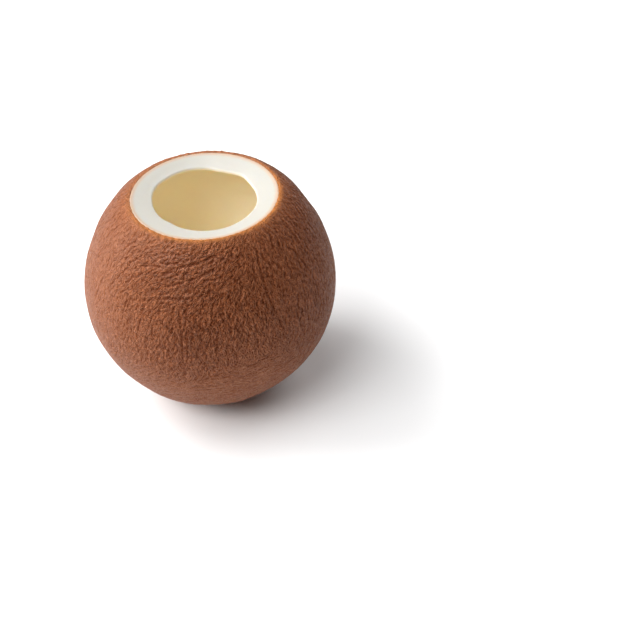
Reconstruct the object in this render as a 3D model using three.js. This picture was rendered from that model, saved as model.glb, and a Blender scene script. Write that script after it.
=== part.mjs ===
// A chocolate coconut ball: a hollow ball of two chocolates, cut across at the top.
// A thin brown coat lies round a thicker cream lining, whose cut edge is the pale rim
// of the mouth. Millimetres, +Z up. The ball stands on z = 0, with its mouth on top.
import * as THREE from 'three';

const { clamp, degToRad, lerp, smoothstep } = THREE.MathUtils;

// Driving dimensions. Heights are above the ball's centre.
const BALL_RADIUS = 16; // outside of the brown coat
const REST_SPOT_RADIUS = 3; // flat spot that the ball stands on
const SHOULDER_SWELL = 0.42; // extra radius of the ball round its mouth
const SHOULDER_FROM = degToRad(38); // the shoulder ends at this angle from straight up,
const SHOULDER_TO = degToRad(63); // and has quite sunk into the ball at this one
const CUT_HEIGHT = 13.45; // of the cut at the outside of the rim
const HOLE_DROP = 0.58; // of the rim from its outside to the hole, as a shallow dish
const MOUTH_RADIUS = 6.36; // narrowest part of the hole
const LIP_RADIUS = 0.3; // rounding of the hole's edge
const RIM_OUTER_RADIUS = 8.95; // outside of the cream rim
const RIM_EASE = 0.12; // bevel on the outside of the rim
const CAVITY_RISE = 1.1; // height of the hollow's centre
const COAT_THICKNESS = 0.9; // at the side and the bottom
const COAT_TAPER = degToRad(26); // the coat thins towards the mouth over this angle
const COAT_EDGE_EASE = 0.15; // rounding of the coat's top edge
const LAYER_GAP = 0.05; // clearance between coat and lining, which touch on the real ball

// Unevenness of a ball that was coated and rolled by hand
const RIM_OVAL = 0.16; // the rim's outside is oval by this, from back right to front left
const HOLE_OVAL = 0.14; // and the hole by this, the other way
const FOLD_HEIGHT = 0.025; // of the soft folds in the coat
const FOLD_LENGTH = 4.6; // from one fold to the next
const FOLD_TRAINS = 9; // wave trains that add up to the folds

// Soft swells and flats: where on the ball, in degrees, how high, and how wide in degrees
const SWELLS = [
  { azimuth: 27, elevation: 32, height: 0.1, spread: 22 },
  { azimuth: 158, elevation: 14, height: -0.1, spread: 24 },
  { azimuth: -49, elevation: -40, height: -0.13, spread: 30 },
  { azimuth: -159, elevation: -22, height: 0.12, spread: 28 },
  { azimuth: -96, elevation: 8, height: 0.08, spread: 22 },
  { azimuth: 180, elevation: 5, height: -0.06, spread: 38 },
  { azimuth: -104, elevation: -47, height: 0.11, spread: 22 },
];

// Nicks and bulges in the edge of the hole: where, how far out, and how wide in degrees
const HOLE_NICKS = [
  { azimuth: 49, out: 0.33, spread: 12 },
  { azimuth: 77, out: -0.13, spread: 9 },
  { azimuth: 110, out: 0.27, spread: 31 },
  { azimuth: 159, out: 0.2, spread: 18 },
  { azimuth: -127, out: -0.15, spread: 8 },
  { azimuth: -38, out: -0.2, spread: 25 },
];

// Fineness of the facets
const SEGMENTS = 80; // round the ball
const OUTSIDE_STEPS = 26; // up the outside of the coat
const LAYER_STEPS = 13; // up the face between coat and lining
const CAVITY_STEPS = 13; // up the hollow
const LIP_STEPS = 4; // round the hole's edge
const RIM_STEPS = 3; // across the flat of the rim

// Sizes that follow from them
const CENTRE_HEIGHT = Math.sqrt(BALL_RADIUS ** 2 - REST_SPOT_RADIUS ** 2);
const MOUTH_EDGE = Math.hypot(RIM_OUTER_RADIUS, CUT_HEIGHT);
const COAT_EDGE_THICKNESS = BALL_RADIUS + SHOULDER_SWELL - MOUTH_EDGE;
const LAYER_START = Math.atan2(RIM_OUTER_RADIUS, CUT_HEIGHT - RIM_EASE);
const HOLE_HEIGHT = CUT_HEIGHT - HOLE_DROP;
const LIP_CENTRE = new THREE.Vector2(MOUTH_RADIUS + LIP_RADIUS, HOLE_HEIGHT - LIP_RADIUS);
const CAVITY_CENTRE = new THREE.Vector2(0, CAVITY_RISE);
const CAVITY_RADIUS = LIP_CENTRE.distanceTo(CAVITY_CENTRE) - LIP_RADIUS;
const CAVITY_START = Math.atan2(LIP_CENTRE.x, LIP_CENTRE.y - CAVITY_RISE);
const GOLDEN_ANGLE = Math.PI * (3 - Math.sqrt(5));

// The ball's own radius at an angle from straight up
function ballRadiusAt(angle) {
  return BALL_RADIUS + SHOULDER_SWELL * (1 - smoothstep(angle, SHOULDER_FROM, SHOULDER_TO));
}

// A profile point at an angle from straight up, seen from a centre
function polarPoint(centre, radius, angle) {
  return new THREE.Vector2(
    Math.max(0, centre.x + radius * Math.sin(angle)),
    centre.y + radius * Math.cos(angle),
  );
}

// Points of an arc in the profile, from one such angle to another, both ends included
function arc(centre, radius, from, to, steps) {
  return Array.from({ length: steps + 1 }, (_, i) => (
    polarPoint(centre, radius, lerp(from, to, i / steps))
  ));
}

// The face between coat and lining, from the mouth down to the bottom
function layerFace(offset) {
  return Array.from({ length: LAYER_STEPS + 1 }, (_, i) => {
    const angle = lerp(LAYER_START, Math.PI, i / LAYER_STEPS);
    const depth = smoothstep(angle - LAYER_START, 0, COAT_TAPER);
    const thickness = lerp(COAT_EDGE_THICKNESS, COAT_THICKNESS, depth);
    return polarPoint(new THREE.Vector2(), ballRadiusAt(angle) - thickness + offset, angle);
  });
}

// The direction at an azimuth from +X and an elevation, in degrees
function directionAt(azimuth, elevation) {
  return new THREE.Vector3(1, 0, 0)
    .applyAxisAngle(new THREE.Vector3(0, -1, 0), degToRad(elevation))
    .applyAxisAngle(new THREE.Vector3(0, 0, 1), degToRad(azimuth));
}

// How far the ball stands out from a true sphere in a direction, in soft swells and flats
function swellTowards(direction) {
  return SWELLS.reduce((sum, { azimuth, elevation, height, spread }) => {
    const away = direction.angleTo(directionAt(azimuth, elevation)) / degToRad(spread);
    return sum + height * Math.exp(-(away ** 2));
  }, 0);
}

// Soft folds in the coat: wave trains in directions spread evenly over the ball
function foldTowards(direction) {
  let sum = 0;
  for (let train = 0; train < FOLD_TRAINS; train++) {
    const rise = 1 - (2 * train + 1) / FOLD_TRAINS;
    const around = train * GOLDEN_ANGLE;
    const level = Math.sqrt(1 - rise ** 2);
    const along = new THREE.Vector3(level * Math.cos(around), level * Math.sin(around), rise);
    const distance = along.dot(direction) * BALL_RADIUS;
    sum += Math.sin((2 * Math.PI * distance) / FOLD_LENGTH + around);
  }
  return (FOLD_HEIGHT * sum) / Math.sqrt(FOLD_TRAINS / 2);
}

// How far the edge of the hole lies out of round at an azimuth
function holeEdgeAt(around) {
  const direction = new THREE.Vector2(Math.cos(around), Math.sin(around));
  return HOLE_NICKS.reduce((sum, { azimuth, out, spread }) => {
    const nick = new THREE.Vector2(1, 0).rotateAround(new THREE.Vector2(), degToRad(azimuth));
    const away = Math.acos(clamp(direction.dot(nick), -1, 1)) / degToRad(spread);
    return sum + out * Math.exp(-(away ** 2));
  }, -HOLE_OVAL * Math.sin(2 * around));
}

// Moves a point of a true, turned ball to where it lies on the uneven one
function unevenPoint(point) {
  const direction = point.clone().normalize();
  const polar = direction.angleTo(new THREE.Vector3(0, 0, 1));
  const around = Math.atan2(point.y, point.x);
  const fromAxis = Math.hypot(point.x, point.y);

  // Nothing moves near the flat rest spot, and the cut stays flat but for its outer edge
  const restSpot = Math.asin(REST_SPOT_RADIUS / BALL_RADIUS);
  const offRest = smoothstep(Math.PI - polar, restSpot * 1.05, restSpot * 2.4);
  const offCut = smoothstep(polar, LAYER_START, LAYER_START + COAT_TAPER / 3);
  const outside = 1 - smoothstep(ballRadiusAt(polar) - point.length(), 0, COAT_EDGE_EASE * 2);
  const swell = swellTowards(direction) * offCut;
  const folds = foldTowards(direction) * outside * Math.max(offCut, 0.5);
  point.addScaledVector(direction, (swell + folds) * offRest);

  // The mouth moves only sideways: its outside in one oval, the hole's edge in another
  const nearRim = (1 - smoothstep(polar, LAYER_START, LAYER_START + COAT_TAPER))
    * smoothstep(fromAxis, MOUTH_RADIUS + LIP_RADIUS, RIM_OUTER_RADIUS - RIM_EASE);
  const nearHole = smoothstep(point.z, HOLE_HEIGHT - 2.5, HOLE_HEIGHT - LIP_RADIUS)
    * (1 - smoothstep(fromAxis, MOUTH_RADIUS + LIP_RADIUS, RIM_OUTER_RADIUS - RIM_EASE));
  const sideways = RIM_OVAL * Math.sin(2 * around) * nearRim + holeEdgeAt(around) * nearHole;
  if (fromAxis > 0) {
    point.x += (sideways * point.x) / fromAxis;
    point.y += (sideways * point.y) / fromAxis;
  }
  return point;
}

// A closed body turned from a profile and then made uneven
function unevenLathe(profile) {
  const geometry = new THREE.LatheGeometry(profile, SEGMENTS).rotateX(Math.PI / 2);
  const position = geometry.getAttribute('position');
  const point = new THREE.Vector3();
  for (let i = 0; i < position.count; i++) {
    unevenPoint(point.fromBufferAttribute(position, i));
    position.setXYZ(i, point.x, point.y, point.z);
  }
  geometry.computeVertexNormals();
  return geometry;
}

// The brown coat, from its flat spot up the outside, over its thin top edge and down inside
function milkChocolateCoat() {
  const restSpot = Math.asin(REST_SPOT_RADIUS / BALL_RADIUS);
  const shoulderRadius = BALL_RADIUS + SHOULDER_SWELL;
  const outsideTop = Math.acos((CUT_HEIGHT - COAT_EDGE_EASE) / shoulderRadius);
  const edgeOuter = Math.sqrt(shoulderRadius ** 2 - CUT_HEIGHT ** 2) - COAT_EDGE_EASE / 2;
  const edgeInner = RIM_OUTER_RADIUS + COAT_EDGE_EASE / 2;
  const outside = Array.from({ length: OUTSIDE_STEPS + 1 }, (_, i) => {
    const angle = lerp(Math.PI - restSpot, outsideTop, i / OUTSIDE_STEPS);
    return polarPoint(new THREE.Vector2(), ballRadiusAt(angle), angle);
  });
  const profile = [
    new THREE.Vector2(0, -CENTRE_HEIGHT),
    new THREE.Vector2(REST_SPOT_RADIUS / 2, -CENTRE_HEIGHT),
    ...outside,
    new THREE.Vector2(edgeOuter, CUT_HEIGHT),
    new THREE.Vector2(edgeInner, CUT_HEIGHT),
    ...layerFace(0),
  ];
  const material = new THREE.MeshStandardMaterial({
    color: 0x86543a,
    roughness: 0.5,
    metalness: 0,
  });
  const coat = new THREE.Mesh(unevenLathe(profile), material);
  coat.name = 'milk_chocolate_coat';
  return coat;
}

// The cream lining, up its outside, across the dished rim, round the lip and down the hollow
function whiteChocolateShell() {
  const rimFrom = new THREE.Vector2(RIM_OUTER_RADIUS - LAYER_GAP - RIM_EASE, CUT_HEIGHT);
  const lipTop = polarPoint(LIP_CENTRE, LIP_RADIUS, 0);
  const rim = Array.from({ length: RIM_STEPS }, (_, i) => (
    new THREE.Vector2().lerpVectors(rimFrom, lipTop, i / RIM_STEPS)
  ));
  const profile = [
    ...layerFace(-LAYER_GAP).reverse(),
    ...rim,
    ...arc(LIP_CENTRE, LIP_RADIUS, 0, CAVITY_START - Math.PI, LIP_STEPS),
    ...arc(CAVITY_CENTRE, CAVITY_RADIUS, CAVITY_START, Math.PI, CAVITY_STEPS).slice(1),
  ];
  const material = new THREE.MeshStandardMaterial({
    color: 0xe9e2d0,
    roughness: 0.45,
    metalness: 0,
  });
  const shell = new THREE.Mesh(unevenLathe(profile), material);
  shell.name = 'white_chocolate_shell';
  return shell;
}

const group = new THREE.Group();
group.add(milkChocolateCoat(), whiteChocolateShell());
group.position.z = CENTRE_HEIGHT;

export default group;
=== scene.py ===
import math

import bpy
import numpy as np
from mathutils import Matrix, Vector


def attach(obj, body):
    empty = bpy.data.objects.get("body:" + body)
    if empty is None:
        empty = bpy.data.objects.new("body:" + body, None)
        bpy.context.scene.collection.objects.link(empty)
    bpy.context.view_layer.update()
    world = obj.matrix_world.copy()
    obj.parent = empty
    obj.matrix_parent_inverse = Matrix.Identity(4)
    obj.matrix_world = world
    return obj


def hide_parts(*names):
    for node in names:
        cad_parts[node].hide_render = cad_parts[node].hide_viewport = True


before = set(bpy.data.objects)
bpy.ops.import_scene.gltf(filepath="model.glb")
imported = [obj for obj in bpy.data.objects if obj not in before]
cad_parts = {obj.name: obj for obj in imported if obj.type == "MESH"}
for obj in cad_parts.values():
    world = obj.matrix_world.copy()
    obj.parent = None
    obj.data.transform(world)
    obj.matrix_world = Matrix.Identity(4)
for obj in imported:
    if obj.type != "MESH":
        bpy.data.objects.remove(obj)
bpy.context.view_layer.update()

MM = 0.001

# Sizes of the ball, as in the solids. Heights are above the ball's centre, and angles are
# from straight up.
BALL_RADIUS = 16 * MM
REST_SPOT_RADIUS = 3 * MM
SHOULDER_SWELL = 0.42 * MM
SHOULDER_FROM = math.radians(38)
SHOULDER_TO = math.radians(63)
CUT_HEIGHT = 13.45 * MM
HOLE_DROP = 0.58 * MM
MOUTH_RADIUS = 6.36 * MM
LIP_RADIUS = 0.3 * MM
RIM_OUTER_RADIUS = 8.95 * MM
CAVITY_RISE = 1.1 * MM
COAT_THICKNESS = 0.9 * MM
COAT_TAPER = math.radians(26)
COAT_EDGE_EASE = 0.15 * MM
COAT_EDGE_CROWN = 0.01 * MM
COAT_EDGE_FALL = 0.07 * MM
LAYER_INSET = 0.12 * MM
LAYER_GAP = 0.01 * MM
RIM_INSET = 0.05 * MM
RIM_OVAL = 0.16 * MM
HOLE_OVAL = 0.14 * MM
NICK_REACH = 2.5 * MM
FOLD_HEIGHT = 0.025 * MM
FOLD_LENGTH = 4.6 * MM
FOLD_TRAINS = 9

CENTRE = np.array([0, 0, math.sqrt(BALL_RADIUS**2 - REST_SPOT_RADIUS**2)])
REST_SPOT_ANGLE = math.asin(REST_SPOT_RADIUS / BALL_RADIUS)
SHOULDER_RADIUS = BALL_RADIUS + SHOULDER_SWELL
HOLE_HEIGHT = CUT_HEIGHT - HOLE_DROP
COAT_EDGE_THICKNESS = SHOULDER_RADIUS - math.hypot(RIM_OUTER_RADIUS, CUT_HEIGHT)
COAT_TOP_ANGLE = math.acos((CUT_HEIGHT - COAT_EDGE_EASE) / SHOULDER_RADIUS)
LAYER_START = math.atan2(RIM_OUTER_RADIUS, CUT_HEIGHT - LAYER_INSET)

# Soft swells and flats: azimuth, elevation, height, spread
SWELLS = [
    (27, 32, 0.10 * MM, 22),
    (158, 14, -0.10 * MM, 24),
    (-49, -40, -0.13 * MM, 30),
    (-159, -22, 0.12 * MM, 28),
    (-96, 8, 0.08 * MM, 22),
    (180, 5, -0.06 * MM, 38),
    (-104, -47, 0.11 * MM, 22),
]
# Nicks and bulges in the hole's edge: azimuth, how far out it lies, spread
HOLE_NICKS = [
    (49, 0.33 * MM, 12),
    (77, -0.13 * MM, 9),
    (110, 0.27 * MM, 31),
    (159, 0.20 * MM, 18),
    (-127, -0.15 * MM, 8),
    (-38, -0.20 * MM, 25),
]

# How the coat is crinkled: patches of strokes, each at an azimuth and elevation, with the
# heading of its strokes above level, how deep they are, how much they scatter, and its spread
STROKE_PATCHES = [
    (-98, 46, 28, 0.95, 34, 17),
    (-116, 32, 26, 0.9, 30, 16),
    (-80, 38, 20, 0.95, 60, 14),
    (-96, 12, 92, 1.1, 24, 17),
    (-72, 18, 96, 1.0, 40, 18),
    (-34, 40, 100, 0.9, 40, 24),
    (-40, 12, 92, 0.8, 34, 22),
    (-67, -16, 4, 0.4, 20, 24),
    (-150, 36, 84, 0.35, 24, 24),
    (-118, 8, 88, 0.6, 16, 18),
    (-150, 8, 86, 0.3, 20, 24),
    (-120, -20, 30, 0.4, 30, 22),
    (40, 30, 60, 0.8, 40, 26),
    (80, 46, 20, 1.0, 40, 22),
    (110, 20, 88, 0.7, 25, 26),
    (150, 40, 110, 0.6, 40, 24),
    (60, -15, 10, 0.5, 30, 30),
    (170, -10, 95, 0.4, 25, 28),
    (10, -5, 85, 0.6, 30, 26),
]
# Away from the patches: their pull on what lies between, how deep, and how much they scatter
LOOSE_PULL = 0.12
LOOSE_DEPTH = 0.5
LOOSE_SCATTER = 40.0

# Longer creases that stand out: azimuth, elevation, heading above level, half its length
LONG_CREASES = [
    (-88, 47, 20, 2.6 * MM),
    (-96, 39, 22, 2.9 * MM),
    (-103, 31, 8, 1.6 * MM),
    (-98, 13, 93, 3.2 * MM),
    (-96, 10, 91, 2.4 * MM),
    (-56, 26, 96, 4.6 * MM),
    (-136, 31, 62, 2.4 * MM),
    (-148, 18, 80, 3.4 * MM),
    (-118, 20, 84, 2.6 * MM),
    (-30, 34, 102, 3.0 * MM),
    (20, 20, 84, 3.6 * MM),
    (62, 40, 26, 2.8 * MM),
    (98, 30, 150, 2.6 * MM),
    (136, 12, 94, 3.4 * MM),
    (172, 34, 70, 2.4 * MM),
]
CREASE_WEIGHT = 3.0
CREASE_WIDENING = 1.3
CREASE_BEND = 0.03

# The strokes: height and width of the ripple, length, and how they vary. Bends are
# curvatures, in one over millimetres.
STROKES = 36000
CRINKLE_HEIGHT = 0.041 * MM
CRINKLE_WAVE = 0.5 * MM
WAVE_RANGE = (0.75, 1.25)
WIDER_HIGH_UP = 0.12
STROKE_LENGTH = 0.75 * MM
LENGTH_RANGE = (0.6, 1.5)
WEIGHT_RANGE = (0.5, 1.0)
STROKE_BEND = 0.3
STROKE_REACH = 2.0
RIPPLE_FADE = 0.55
HEADING_SCATTER = 0.75

# The coat's ragged top edge: its height, how far down it reaches, and waves in one turn
EDGE_RAGGED = 0.03 * MM
RAGGED_REACH = 0.6 * MM
EDGE_WAVES = range(12, 90, 3)

# Fineness of the meshes
SEGMENTS = 470
FINEST_RING = 0.15 * MM
COARSER_BELOW = 0.6
COARSER_FROM = math.radians(95)
COARSER_TO = math.radians(135)
HIDDEN_RINGS = 16
RIM_RINGS = 22
LIP_RINGS = 9
HOLLOW_RINGS = 59
POLE_GAP = 0.02
AZIMUTHS = np.arange(SEGMENTS) * 2 * math.pi / SEGMENTS

# Soft lights: name, azimuth, elevation, width in metres, watts
LIGHTS = [
    ("key_light", 167, 44, 0.36, 2.4),
    ("back_key_light", 148, 40, 0.35, 0.65),
    ("front_key_light", 214, 44, 0.22, 1.25),
    ("front_light", 241, 48, 0.2, 1.05),
    ("side_light", 174, 13, 0.2, 1.45),
    ("back_light", 44, 42, 0.45, 1.5),
    ("top_light", -170, 76, 0.5, 1.3),
]
LIGHT_DISTANCE = 0.6
FLOOR_HALF = 1.5


def smooth_step(value, low, high):
    """0 up to low and 1 from high on, with a smooth step between."""
    share = np.clip((value - low) / (high - low), 0, 1)
    return share * share * (3 - 2 * share)


def direction_at(azimuth, elevation):
    """The unit direction at an azimuth and elevation in degrees."""
    around, up = math.radians(azimuth), math.radians(elevation)
    level = math.cos(up)
    return np.array([level * math.cos(around), level * math.sin(around), math.sin(up)])


def closeness(directions, azimuth, elevation, spread):
    """1 in that direction, falling off softly over the spread in degrees."""
    cosine = np.clip(directions @ direction_at(azimuth, elevation), -1, 1)
    return np.exp(-((np.arccos(cosine) / math.radians(spread)) ** 2))


def ball_radius_at(angle):
    """The ball's own radius at an angle from straight up."""
    return BALL_RADIUS + SHOULDER_SWELL * (1 - smooth_step(angle, SHOULDER_FROM, SHOULDER_TO))


def coat_inner_radius_at(angle):
    """The radius where the coat ends and the lining begins."""
    depth = smooth_step(angle - LAYER_START, 0, COAT_TAPER)
    thickness = COAT_EDGE_THICKNESS + (COAT_THICKNESS - COAT_EDGE_THICKNESS) * depth
    return ball_radius_at(angle) - thickness


def swell_towards(directions):
    """How far the soft swells and flats lie out or in."""
    return sum(height * closeness(directions, azimuth, elevation, spread)
               for azimuth, elevation, height, spread in SWELLS)


def folds_towards(directions):
    """Soft folds: wave trains in directions spread evenly over the ball."""
    total = np.zeros(directions.shape[:-1])
    for train in range(FOLD_TRAINS):
        rise = 1 - (2 * train + 1) / FOLD_TRAINS
        around = train * math.pi * (3 - math.sqrt(5))
        level = math.sqrt(1 - rise**2)
        along = np.array([level * math.cos(around), level * math.sin(around), rise])
        total += np.sin(2 * math.pi * (directions @ along) * BALL_RADIUS / FOLD_LENGTH + around)
    return FOLD_HEIGHT * total / math.sqrt(FOLD_TRAINS / 2)


def hole_edge_at(azimuths):
    """How far the edge of the hole lies out of round."""
    edge = -HOLE_OVAL * np.sin(2 * azimuths)
    for azimuth, out, spread in HOLE_NICKS:
        away = np.angle(np.exp(1j * (azimuths - math.radians(azimuth))))
        edge += out * np.exp(-((away / math.radians(spread)) ** 2))
    return edge


def uneven(points):
    """Moves points of a true, turned ball, about its centre, to where they lie on the uneven one."""
    tiny = 1e-9
    length = np.linalg.norm(points, axis=-1)
    directions = points / np.maximum(length, tiny)[..., None]
    polar = np.arccos(np.clip(directions[..., 2], -1, 1))
    around = np.arctan2(points[..., 1], points[..., 0])
    from_axis = np.hypot(points[..., 0], points[..., 1])

    # The rest spot stays as it is. Swells die away at the cut, and folds, which only the
    # outside has, are half as high there.
    off_rest = smooth_step(math.pi - polar, REST_SPOT_ANGLE * 1.05, REST_SPOT_ANGLE * 2.4)
    off_cut = smooth_step(polar, LAYER_START, LAYER_START + COAT_TAPER / 3)
    outside = 1 - smooth_step(ball_radius_at(polar) - length, 0, COAT_EDGE_EASE * 2)
    swell = swell_towards(directions) * off_cut
    folds = folds_towards(directions) * outside * np.maximum(off_cut, 0.5)
    moved = points + directions * ((swell + folds) * off_rest)[..., None]

    # Sideways, the rim is a little oval, and the hole's edge is nicked
    across = smooth_step(from_axis, MOUTH_RADIUS + LIP_RADIUS, RIM_OUTER_RADIUS - LAYER_INSET)
    near_rim = (1 - smooth_step(polar, LAYER_START, LAYER_START + COAT_TAPER)) * across
    above_hollow = smooth_step(points[..., 2], HOLE_HEIGHT - NICK_REACH, HOLE_HEIGHT - LIP_RADIUS)
    near_hole = above_hollow * (1 - across)
    sideways = RIM_OVAL * np.sin(2 * around) * near_rim + hole_edge_at(around) * near_hole
    outward = points[..., :2] / np.maximum(from_axis, tiny)[..., None]
    moved[..., :2] += outward * sideways[..., None]
    return moved


def turned(radii, heights):
    """Rings of points turned from a profile: one row for each profile point."""
    radii = np.asarray(radii)[:, None]
    heights = np.asarray(heights)[:, None]
    return np.stack([radii * np.cos(AZIMUTHS), radii * np.sin(AZIMUTHS),
                     heights + 0 * AZIMUTHS], axis=-1)


def turned_arc(radius, angles, out=0.0, up=0.0):
    """Rings turned from an arc, whose centre lies that far out from the axis and up it."""
    return turned(out + radius * np.sin(angles), up + radius * np.cos(angles))


def shell_mesh(name, rings, marks):
    """A closed body from rings of points, with a single point closing it at either end.
    marks holds one number or vector for each ring point, by name, for the finish to read."""
    rows = len(rings)
    ends = [rings[0].mean(axis=0), rings[-1].mean(axis=0)]
    points = np.vstack([rings.reshape(-1, 3), *ends]) + CENTRE
    row, column = np.meshgrid(np.arange(rows - 1), np.arange(SEGMENTS), indexing="ij")
    after = (column + 1) % SEGMENTS
    quads = np.stack([row * SEGMENTS + column, row * SEGMENTS + after,
                      (row + 1) * SEGMENTS + after, (row + 1) * SEGMENTS + column], axis=-1)
    faces = quads.reshape(-1, 4).tolist()
    last = (rows - 1) * SEGMENTS
    first_cap, last_cap = rows * SEGMENTS, rows * SEGMENTS + 1
    for column in range(SEGMENTS):
        after = (column + 1) % SEGMENTS
        faces.append([first_cap, after, column])
        faces.append([last_cap, last + column, last + after])
    mesh = bpy.data.meshes.new(name)
    mesh.from_pydata(points.tolist(), [], faces)

    for mark, numbers in marks.items():
        kind, values = ("FLOAT_VECTOR", "vector") if numbers.ndim == 3 else ("FLOAT", "value")
        numbers = numbers.reshape(rows * SEGMENTS, -1)
        numbers = np.vstack([numbers, numbers[0], numbers[last]])
        layer = mesh.attributes.new(mark, kind, "POINT")
        layer.data.foreach_set(values, numbers.reshape(-1).astype(np.float32))
    mesh.shade_smooth()
    piece = bpy.data.objects.new(name, mesh)
    bpy.context.scene.collection.objects.link(piece)
    return piece


def stroke_field(directions):
    """Heading, depth and scatter of the strokes in each direction, from the patches."""
    # Headings are added up at twice their angle, so that a stroke's two ends count as one.
    # Between the patches the strokes run up and down the sides, and level underneath.
    underneath = smooth_step(-directions[:, 2], 0.15, 0.5)
    doubled = np.stack([-(1 - underneath) + underneath, 0 * underneath], axis=-1) * LOOSE_PULL
    weight = np.full(len(directions), LOOSE_PULL)
    depth = weight * LOOSE_DEPTH
    scatter = weight * LOOSE_SCATTER
    for azimuth, elevation, heading, strength, loose, spread in STROKE_PATCHES:
        near = closeness(directions, azimuth, elevation, spread)
        twice = 2 * math.radians(heading)
        doubled += near[:, None] * np.array([math.cos(twice), math.sin(twice)])
        weight += near
        depth += near * strength
        scatter += near * loose
    heading = np.arctan2(doubled[:, 1], doubled[:, 0]) / 2
    return heading, depth / weight, np.radians(scatter / weight)


def add_stroke(height, polars, polar, around, heading, length, wave, bend, phase, weight):
    """Adds one stroke to the heights: a ripple across it that dies away along and across it."""
    smallest_ring = 0.2
    reach = STROKE_REACH * max(length, wave) / BALL_RADIUS
    low, high = np.searchsorted(polars, (polar - reach, polar + reach))
    wide = int(reach / max(math.sin(polar), smallest_ring) / (2 * math.pi) * SEGMENTS) + 1
    steps = int(around / (2 * math.pi) * SEGMENTS) + np.arange(-wide, wide + 1)
    rings = polars[low:high, None]
    east = BALL_RADIUS * np.sin(rings) * (steps * 2 * math.pi / SEGMENTS - around)
    north = BALL_RADIUS * (polar - rings) + 0 * east
    cosine, sine = math.cos(heading), math.sin(heading)
    along = east * cosine + north * sine
    across = north * cosine - east * sine - bend * 0.5 * along**2
    envelope = np.exp(-(along / length) ** 2 - (across / (RIPPLE_FADE * wave)) ** 2)
    ripple = np.cos(2 * math.pi * across / wave + phase)
    height[low:high, steps % SEGMENTS] += weight * envelope * ripple


def crinkle(polars):
    """Height of the crinkle at every ring point of the outside: thousands of short strokes,
    each a ridge between two grooves, curved a little and laid as its patch has them."""
    draw = np.random.default_rng(7)
    height = np.zeros((len(polars), SEGMENTS))
    rise = draw.uniform(math.cos(polars[-1]), math.cos(polars[0]), STROKES)
    around = draw.uniform(0, 2 * math.pi, STROKES)
    level = np.sqrt(1 - rise**2)
    directions = np.stack([level * np.cos(around), level * np.sin(around), rise], axis=-1)
    heading, _, scatter = stroke_field(directions)
    heading = heading + HEADING_SCATTER * scatter * draw.standard_normal(STROKES)
    bend = draw.normal(0, STROKE_BEND, STROKES) / MM
    widening = 1 + WIDER_HIGH_UP * smooth_step(rise, 0.5, 0.8)
    wave = CRINKLE_WAVE * draw.uniform(*WAVE_RANGE, STROKES) * widening
    length = STROKE_LENGTH * draw.uniform(*LENGTH_RANGE, STROKES)
    phase = draw.uniform(0, 2 * math.pi, STROKES)
    weight = draw.uniform(*WEIGHT_RANGE, STROKES)
    polar = map(math.acos, rise)
    for stroke in zip(polar, around, heading, length, wave, bend, phase, weight):
        add_stroke(height, polars, *stroke)
    for azimuth, elevation, lie, half_length in LONG_CREASES:
        add_stroke(height, polars, math.radians(90 - elevation),
                   math.radians(azimuth) % (2 * math.pi), math.radians(lie), half_length,
                   CRINKLE_WAVE * CREASE_WIDENING, draw.normal(0, CREASE_BEND) / MM, math.pi,
                   CREASE_WEIGHT)
    return height / height.std()


def ragged_edge():
    """How far the coat's top edge stands up or is worn down, all round: short waves added up."""
    draw = np.random.default_rng(3)
    edge = np.zeros(SEGMENTS)
    for waves in EDGE_WAVES:
        edge += draw.normal() * np.cos(waves * AZIMUTHS + draw.uniform(0, 2 * math.pi))
    return EDGE_RAGGED * edge / edge.std()


def coat_ring_angles():
    """Angles of the rings down the coat's outside, from its top edge to the rest spot: as far
    apart as the points of a ring are, and further apart low down."""
    angles = [COAT_TOP_ANGLE]
    while angles[-1] < math.pi - REST_SPOT_ANGLE:
        spacing = 2 * math.pi * math.sin(angles[-1]) / SEGMENTS
        spacing *= 1 + COARSER_BELOW * smooth_step(angles[-1], COARSER_FROM, COARSER_TO)
        angles.append(angles[-1] + max(spacing, FINEST_RING / BALL_RADIUS))
    below_top = np.array(angles) - COAT_TOP_ANGLE
    whole = math.pi - REST_SPOT_ANGLE - COAT_TOP_ANGLE
    return COAT_TOP_ANGLE + below_top * whole / below_top[-1]


def across_strokes(directions, heading):
    """The direction over the surface that runs across the strokes, at each point."""
    east = np.stack([-np.sin(AZIMUTHS), np.cos(AZIMUTHS), 0 * AZIMUTHS], axis=-1) + 0 * directions
    north = np.cross(directions, east)
    return north * np.cos(heading)[..., None] - east * np.sin(heading)[..., None]


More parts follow.
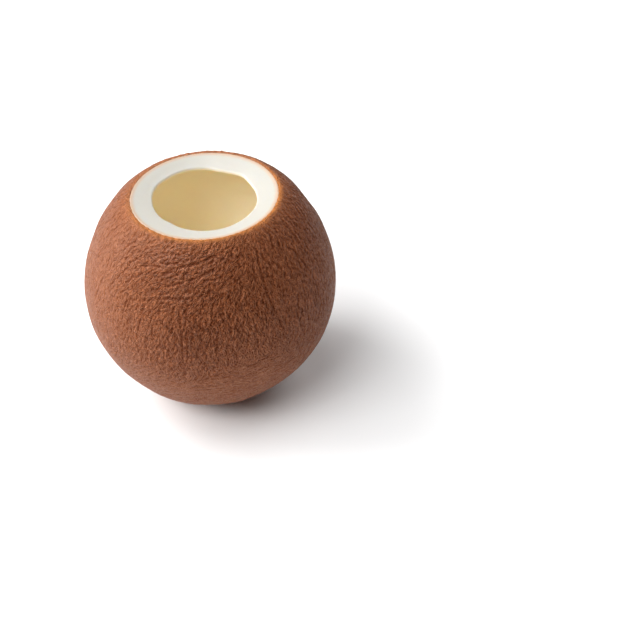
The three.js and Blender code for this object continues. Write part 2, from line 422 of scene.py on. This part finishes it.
def coat_piece():
    """The milk-chocolate coat: up the outside, over the thin top edge and down the inside."""
    polars = coat_ring_angles()
    below_top = BALL_RADIUS * (polars - COAT_TOP_ANGLE)
    directions = turned_arc(1.0, polars)
    field = stroke_field(directions.reshape(-1, 3))
    heading, depth, _ = (part.reshape(len(polars), SEGMENTS) for part in field)

    # Ridges are rounded and grooves are sharp. Both are lower at the top edge and rest spot.
    sharpness = 0.6
    relief = np.clip(crinkle(polars), -1.8, 2.5)
    creased = (1 - np.exp(-sharpness * relief)) / sharpness
    fade = smooth_step(polars, COAT_TOP_ANGLE - 0.02, COAT_TOP_ANGLE + 0.04)
    fade = fade * smooth_step(math.pi - polars, REST_SPOT_ANGLE, REST_SPOT_ANGLE * 1.6)
    lift = CRINKLE_HEIGHT * creased * depth * (0.45 + 0.55 * fade)[:, None]

    outside = uneven(turned_arc(ball_radius_at(polars), polars)) + directions * lift[..., None]
    ragged = ragged_edge()
    near_edge = 1 - smooth_step(below_top, 0, RAGGED_REACH)
    outside[..., 2] += near_edge[:, None] * ragged

    edge_outer = math.sqrt(SHOULDER_RADIUS**2 - CUT_HEIGHT**2) - COAT_EDGE_EASE * 0.4
    edge_inner = RIM_OUTER_RADIUS - LAYER_INSET
    edge_heights = [CUT_HEIGHT, CUT_HEIGHT + COAT_EDGE_CROWN, CUT_HEIGHT - COAT_EDGE_FALL]
    edge = uneven(turned([edge_outer, (edge_outer + edge_inner) / 2, edge_inner], edge_heights))
    ragged_share = np.array([1, 0.6, 0.2])
    edge[..., 2] += ragged_share[:, None] * ragged
    angles = np.linspace(LAYER_START, math.pi - POLE_GAP, HIDDEN_RINGS)
    inside = uneven(turned_arc(coat_inner_radius_at(angles), angles))

    def marked(of_outside, elsewhere):
        """A mark on every ring: the outside's own, and one value over the edge and inside."""
        others = np.full((len(edge) + len(inside), *of_outside.shape[1:]), elsewhere)
        return np.concatenate([of_outside[::-1], others])

    # No strokes lie over the edge and inside, so any lay does there
    any_way = 0.57
    edge_width = edge_outer - RIM_OUTER_RADIUS
    from_rim = np.concatenate([
        (below_top + edge_outer - RIM_OUTER_RADIUS + COAT_EDGE_EASE)[::-1],
        [edge_width, edge_width / 2, 0],
        np.zeros(HIDDEN_RINGS),
    ])
    marks = {
        "relief": marked(creased * depth, 0.0),
        "from_rim": from_rim[:, None] / MM + 0 * AZIMUTHS,
        "crinkle": marked(depth, LOOSE_DEPTH),
        "lay": marked(across_strokes(directions, heading), any_way),
    }
    rings = np.concatenate([outside[::-1], edge, inside])
    return shell_mesh("milk_chocolate_coat_crinkled", rings, marks)


def lining_piece():
    """The cream lining: up the outside, across the dished rim, round the lip, down the hollow."""
    lip = (MOUTH_RADIUS + LIP_RADIUS, HOLE_HEIGHT - LIP_RADIUS)
    cavity_radius = math.hypot(lip[0], lip[1] - CAVITY_RISE) - LIP_RADIUS
    cavity_start = math.atan2(lip[0], lip[1] - CAVITY_RISE)

    angles = np.linspace(math.pi - POLE_GAP, LAYER_START, HIDDEN_RINGS)
    outside = turned_arc(coat_inner_radius_at(angles) - LAYER_GAP, angles)
    share = np.linspace(0, 1, RIM_RINGS)
    rim_from = RIM_OUTER_RADIUS - RIM_INSET
    rim = turned(rim_from + (lip[0] - rim_from) * share, CUT_HEIGHT - HOLE_DROP * share)
    bend = np.linspace(0, cavity_start - math.pi, LIP_RINGS + 1)[1:]
    lip_rings = turned_arc(LIP_RADIUS, bend, *lip)
    closer_at_lip = np.linspace(0, 1, HOLLOW_RINGS + 1)[1:] ** 1.15
    down = cavity_start + (math.pi - POLE_GAP - cavity_start) * closer_at_lip
    hollow = turned_arc(cavity_radius, down, up=CAVITY_RISE)
    rings = uneven(np.concatenate([outside, rim, lip_rings, hollow]))

    depth = np.maximum((CUT_HEIGHT - rings[..., 2]) / MM, 0)
    depth[:HIDDEN_RINGS] = 0
    beyond_rim = np.ones(LIP_RINGS + HOLLOW_RINGS)
    across = np.concatenate([np.zeros(HIDDEN_RINGS), share, beyond_rim])[:, None] + 0 * depth
    return shell_mesh("white_chocolate_lining", rings, {"depth": depth, "across": across})


class Flow:
    """A socket's value in a finish. Maths on it adds Math nodes."""

    def __init__(self, finish, socket):
        self.finish = finish
        self.socket = socket

    def maths(self, operation, first, second=0.0):
        return self.finish.add("ShaderNodeMath", {"operation": operation}, {0: first, 1: second})

    def __add__(self, other):
        return self.maths("ADD", self, other)

    def __radd__(self, other):
        return self.maths("ADD", other, self)

    def __sub__(self, other):
        return self.maths("SUBTRACT", self, other)

    def __rsub__(self, other):
        return self.maths("SUBTRACT", other, self)

    def __mul__(self, other):
        return self.maths("MULTIPLY", self, other)

    def __rmul__(self, other):
        return self.maths("MULTIPLY", other, self)

    def clamped(self, low, high):
        """0 at low and 1 at high, with a smooth step between."""
        return self.finish.add("ShaderNodeMapRange", {"interpolation_type": "SMOOTHSTEP"},
                               {"Value": self, "From Min": low, "From Max": high})


class Finish:
    """A material with one Principled shader, and a short way to add its nodes."""

    def __init__(self, name, **constants):
        self.material = bpy.data.materials.new(name)
        self.material.use_nodes = True
        self.tree = self.material.node_tree
        self.shader = self.tree.nodes["Principled BSDF"]
        for socket, value in constants.items():
            self.feed(self.shader, socket.replace("_", " "), value)

    def add(self, kind, settings=None, sockets=None, output=0):
        """Adds a node: its settings first, then the values or links of its sockets."""
        node = self.tree.nodes.new(kind)
        for setting, value in (settings or {}).items():
            setattr(node, setting, value)
        for socket, value in (sockets or {}).items():
            self.feed(node, socket, value)
        return Flow(self, node.outputs[output])

    def feed(self, node, socket, value):
        if isinstance(value, Flow):
            self.tree.links.new(value.socket, node.inputs[socket])
        else:
            node.inputs[socket].default_value = value

    def vectors(self, operation, sockets, output=0):
        return self.add("ShaderNodeVectorMath", {"operation": operation}, sockets, output)

    def place_mm(self):
        """The place on the piece, in millimetres."""
        place = self.add("ShaderNodeTexCoord", output="Object")
        return self.vectors("SCALE", {0: place, "Scale": 1 / MM})

    def mark(self, name, output="Fac"):
        return self.add("ShaderNodeAttribute", {"attribute_name": name}, output=output)

    def noise(self, place, scale, detail=2.0, roughness=0.5, distortion=0.0, output=0):
        sockets = {"Vector": place, "Scale": scale, "Detail": detail, "Roughness": roughness,
                   "Distortion": distortion}
        return self.add("ShaderNodeTexNoise", {}, sockets, output)

    def slashes(self, place, lay, cell, wave, scatter):
        """Height of patches of short parallel folds with sharp grooves between them, 0 to 1.
        Each patch is turned its own way, off the lay by as much as the scatter says."""
        patch = self.add("ShaderNodeTexVoronoi", {"feature": "F1"},
                         {"Vector": place, "Scale": 1 / cell}, "Color")
        middle = Flow(self, patch.socket.node.outputs["Position"])
        turn = self.vectors("SUBTRACT", {0: patch, 1: (0.5, 0.5, 0.5)})
        turn = self.vectors("SCALE", {0: turn, "Scale": 2 * scatter})
        across = self.vectors("ADD", {0: lay, 1: turn})
        across = self.vectors("NORMALIZE", {0: across})
        local = self.vectors("SUBTRACT", {0: place, 1: middle})
        phase = self.vectors("DOT_PRODUCT", {0: local, 1: across}, "Value")
        ripple = phase.maths("SINE", phase * (math.pi / wave))
        return ripple.maths("ABSOLUTE", ripple)

    def grooves(self, place, scale, width, distortion):
        """1 along the winding lines where a noise passes through its middle, 0 off them."""
        noise = self.noise(place, scale, detail=1.5, distortion=distortion)
        return 1 - noise.maths("ABSOLUTE", noise - 0.5).clamped(0.0, width)

    def mix(self, share, first, second):
        """A colour between two others."""
        first = (*first, 1) if isinstance(first, tuple) else first
        second = (*second, 1) if isinstance(second, tuple) else second
        return self.add("ShaderNodeMix", {"data_type": "RGBA"}, {0: share, 6: first, 7: second}, 2)

    def bump(self, height, strength, distance):
        """Lets a height show as bumps, as high as the distance at full strength."""
        bump = self.add("ShaderNodeBump", {},
                        {"Strength": strength, "Distance": distance, "Height": height})
        self.feed(self.shader, "Normal", bump)

    def wear(self, piece):
        piece.data.materials.clear()
        piece.data.materials.append(self.material)


def coat_finish():
    """Milk chocolate: painted shade in the grooves and a painted highlight on the ridges, matt, thin
    at its top edge.
    """
    finish = Finish("milk_chocolate", IOR=1.46, Specular_IOR_Level=0.1, Coat_Roughness=0.45,
                    Coat_IOR=1.46)
    place = finish.place_mm()
    relief = finish.mark("relief")
    from_rim = finish.mark("from_rim")
    patches = finish.noise(place, 0.22, detail=3.0).clamped(0.3, 0.7)

    # Fine folds: patches of short slashes in the lay of the strokes, with grain over them
    crinkle = finish.mark("crinkle")
    lay = finish.mark("lay", "Vector")
    waver = finish.noise(place, 1.1, output="Color")
    waver = finish.vectors("SCALE", {0: waver, "Scale": 0.9})
    bent = finish.vectors("ADD", {0: place, 1: waver})
    folds = finish.slashes(bent, lay, cell=0.9, wave=0.38, scatter=0.55)
    small_folds = finish.slashes(bent, lay, cell=0.6, wave=0.26, scatter=0.75)
    fine = finish.grooves(place, scale=2.4, width=0.08, distortion=0.8)
    facets = finish.add("ShaderNodeTexVoronoi", {"feature": "DISTANCE_TO_EDGE"},
                        {"Vector": bent, "Scale": 1.0})
    crumple = 1 - facets.clamped(0.0, 0.11)
    grain = finish.noise(bent, 3.4, detail=1.0, roughness=0.6, distortion=0.5)
    near_rim = 1 - from_rim.clamped(2.3, 7.3)

    # Their heights and depths in millimetres, less near the rim
    fold_height, small_fold_height, grain_height = 0.12, 0.09, 0.2
    fine_depth, crumple_depth = 0.08, 0.07
    less = near_rim * 0.06
    height = crinkle * (folds * (fold_height - less) - fine * fine_depth - crumple * crumple_depth)
    height = height + (crinkle + 0.6) * small_folds * small_fold_height
    height = height + (grain - 0.5) * (grain_height - less)
    finish.bump(height, strength=1.0, distance=MM)

    # Colour: paler where the coat is smooth, darker in broad patches, with painted shade in the
    # grooves and painted highlights on the ridges
    groove_shade = (0.14, 0.028, 0.005)
    middle = (0.338, 0.106, 0.038)
    smooth = (0.36, 0.138, 0.064)
    dark = (0.256, 0.072, 0.021)
    ridge_highlight = (0.54, 0.225, 0.120)
    groove = 1 - folds.clamped(0.0, 0.45)
    small_groove = 1 - small_folds.clamped(0.0, 0.5)
    shade_in_grooves = crinkle * (groove * 0.45 + fine * 0.3 + crumple * 0.5) + small_groove * 0.45
    body = finish.mix((1 - crinkle.clamped(0.3, 0.9)) * 0.5, middle, smooth)
    body = finish.mix(patches * 0.3, body, dark)
    # Painted shade in the low parts of the crinkle, and a painted highlight on its high parts
    body = finish.mix((0 - relief).clamped(0.0, 1.4) * 0.75, body, groove_shade)
    body = finish.mix(relief.clamped(0.1, 1.2) * 0.4, body, ridge_highlight)
    # Painted shade along the fine grooves of the folds, slashes and facet edges
    body = finish.mix(shade_in_grooves, body, groove_shade)
    # Painted shade in the grain's low specks and painted glints on its high specks
    body = finish.mix((0.5 - grain).clamped(0.0, 0.16) * 0.2, body, groove_shade)
    body = finish.mix(grain.clamped(0.5, 0.66) * 0.22, body, ridge_highlight)

    # The coat is thin at its top edge, and the light lining shows through: orange-brown at the
    # front and right, and pink-brown at the left and back. The wider, lighter band below the edge
    # is partly this thin coat and partly a painted highlight
    near_edge = (0.42, 0.140, 0.048)
    thin_behind = (0.47, 0.185, 0.085)
    thin_in_front = (0.56, 0.20, 0.050)
    towards_front_right = (0.5, -0.87, 0)
    edge = from_rim + (finish.noise(place, 1.6) - 0.5) * 0.4
    forwards = finish.vectors("DOT_PRODUCT", {0: place, 1: towards_front_right}, "Value")
    thin_edge = finish.mix(forwards.clamped(-6.0, 5.0), thin_behind, thin_in_front)
    # A lighter band down to about 2.4 mm below the rim: thin coat, and partly painted highlight
    body = finish.mix((1 - edge.clamped(0.2, 2.4)) * 0.42, body, near_edge)
    body = finish.mix((1 - edge.clamped(0.1, 0.7)) * 0.95, body, thin_edge)
    finish.feed(finish.shader, "Base Color", body)

    # The ridges have a soft gloss, and the grooves between them hardly any
    ridges = relief.clamped(-0.9, 0.9) * 0.7 + 0.3
    gloss = ridges * (1 - small_groove * 0.5) * (0.7 + grain * 0.6) * 0.34
    finish.feed(finish.shader, "Coat Weight", gloss)
    finish.feed(finish.shader, "Roughness", 0.42 + finish.noise(place, 1.1) * 0.15)
    return finish


def lining_finish():
    """White chocolate: a pale, dulled rim touched with brown at its outer edge, and the lip and
    hollow painted a lighter, warmer cream, as light bouncing inside the hollow makes them look."""
    finish = Finish("white_chocolate", Roughness=0.42, IOR=1.46, Subsurface_Weight=0.5,
                    Subsurface_Radius=(1.0, 0.75, 0.45), Subsurface_Scale=1.0 * MM)
    place = finish.place_mm()
    rim = (0.556, 0.54, 0.49)
    dulled = (0.5, 0.48, 0.43)
    brown_edge = (0.60, 0.40, 0.27)
    # Painted light: the same white chocolate, lighter and warmer where light builds up in the hollow
    hollow = (0.955, 0.895, 0.742)
    cloudy = finish.noise(place, 0.9, detail=3.0)
    body = finish.mix(cloudy.clamped(0.42, 0.75) * 0.14, rim, dulled)
    across = finish.mark("across") + (finish.noise(place, 1.3) - 0.5) * 0.08
    body = finish.mix((1 - across.clamped(0.0, 0.25)) * 0.9, body, brown_edge)
    # From the lip down, the painted lighter hollow colour, also over the lip's shaded side
    body = finish.mix(finish.mark("depth").clamped(0.58, 0.95), body, hollow)
    finish.feed(finish.shader, "Base Color", body)
    finish.bump(cloudy, strength=0.25, distance=0.1 * MM)
    return finish


def floor():
    """A plain pale floor, far wider than the ball."""
    corners = [(-FLOOR_HALF, -FLOOR_HALF, 0), (FLOOR_HALF, -FLOOR_HALF, 0),
               (FLOOR_HALF, FLOOR_HALF, 0), (-FLOOR_HALF, FLOOR_HALF, 0)]
    mesh = bpy.data.meshes.new("floor")
    mesh.from_pydata(corners, [], [(0, 1, 2, 3)])
    piece = bpy.data.objects.new("floor", mesh)
    bpy.context.scene.collection.objects.link(piece)
    Finish("pale_floor", Base_Color=(0.95, 0.95, 0.95, 1), Roughness=0.8).wear(piece)


def soft_light(name, azimuth, elevation, width, power):
    """A square soft light that looks at the ball's middle."""
    lamp = bpy.data.lights.new(name, "AREA")
    lamp.shape = "SQUARE"
    lamp.size = width
    lamp.energy = power
    light = bpy.data.objects.new(name, lamp)
    towards = Vector(direction_at(azimuth, elevation))
    light.location = Vector(CENTRE) + towards * LIGHT_DISTANCE
    light.rotation_euler = towards.to_track_quat("Z", "Y").to_euler()
    bpy.context.scene.collection.objects.link(light)


def studio():
    """Soft lights round the ball, in a faint cool surround."""
    for light in LIGHTS:
        soft_light(*light)
    world = bpy.data.worlds.new("studio")
    bpy.context.scene.world = world
    world.use_nodes = True
    surround = world.node_tree.nodes["Background"]
    surround.inputs["Color"].default_value = (0.8, 0.9, 1, 1)
    surround.inputs["Strength"].default_value = 0.018
    bpy.context.scene.view_settings.view_transform = "Standard"
    # Light has to bounce many times in the hollow to reach its shaded side
    bpy.context.scene.cycles.diffuse_bounces = 16
    bpy.context.scene.cycles.max_bounces = 16


def camera():
    """Looks down on the front of the ball, which stands left of and above the middle."""
    pitch = math.radians(41.42)
    distance = 159.8 * MM
    to_right, downwards = 14.00 * MM, 5.17 * MM
    ahead = Vector((0, math.cos(pitch), -math.sin(pitch)))
    right = Vector((1, 0, 0))
    up = right.cross(ahead)
    data = bpy.data.cameras.new("camera")
    data.lens = 70
    data.sensor_width = 36
    data.clip_start = 5 * MM
    view = bpy.data.objects.new("camera", data)
    view.location = Vector(CENTRE) - ahead * distance + right * to_right - up * downwards
    view.rotation_euler = (-ahead).to_track_quat("Z", "Y").to_euler()
    bpy.context.scene.collection.objects.link(view)
    bpy.context.scene.camera = view


coat = coat_piece()
coat_finish().wear(coat)
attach(coat, "root")
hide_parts("milk_chocolate_coat")

lining = lining_piece()
lining_finish().wear(lining)
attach(lining, "root")
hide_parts("white_chocolate_shell")

floor()
studio()
camera()
